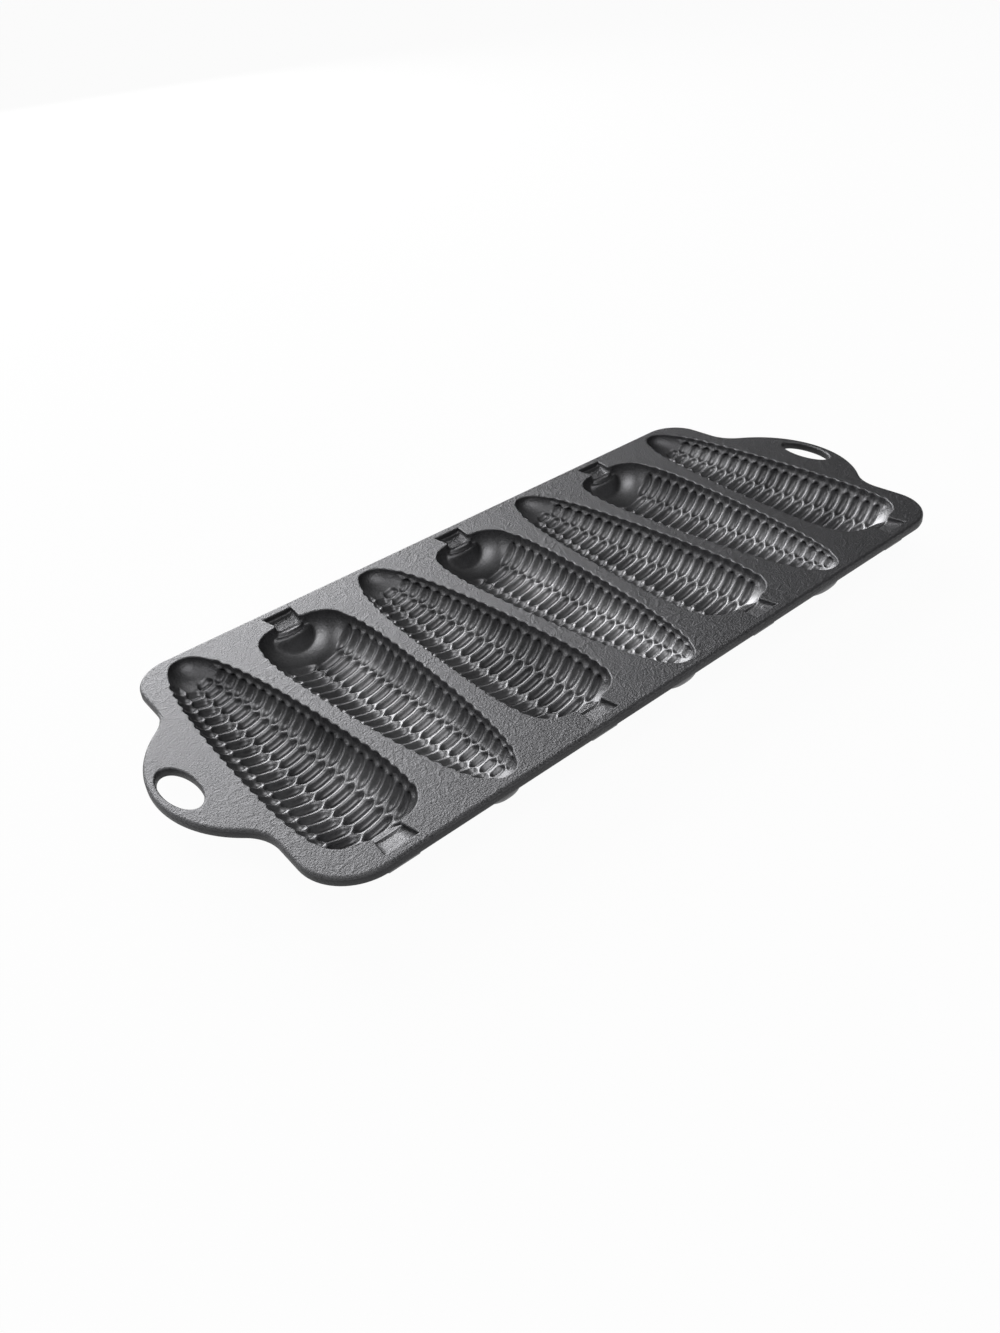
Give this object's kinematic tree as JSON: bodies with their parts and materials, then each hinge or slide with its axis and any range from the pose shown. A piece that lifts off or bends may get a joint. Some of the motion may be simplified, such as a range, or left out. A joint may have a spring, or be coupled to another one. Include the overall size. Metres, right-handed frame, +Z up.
{
  "type": "corn stick pan",
  "caption": "Long cast iron baking pan with corn ear shaped cups laid head to tail in a thin deck, and a lug handle with an oval hanging hole at each end.",
  "frame": {"origin": "on the plane of the cups' resting faces, below the centre of the pan's overall box", "axes": "+X along the pan from lug to lug, +Y across it to the back edge, +Z up out of the cups"},
  "size_m": [0.3238, 0.1396, 0.0191],
  "materials": {
    "deck_iron": "sand cast, seasoned, satin",
    "lug_iron": "sand cast, seasoned, satin",
    "cup_iron": "sand cast, seasoned, smoother than the deck"
  },
  "bodies": {
    "root": {"deck": "deck_iron", "handle_left": "lug_iron", "handle_right": "lug_iron", "cup_1": "cup_iron", "cup_2": "cup_iron", "cup_3": "cup_iron", "cup_4": "cup_iron", "cup_5": "cup_iron", "cup_6": "cup_iron", "cup_7": "cup_iron"}
  },
  "joints": []
}
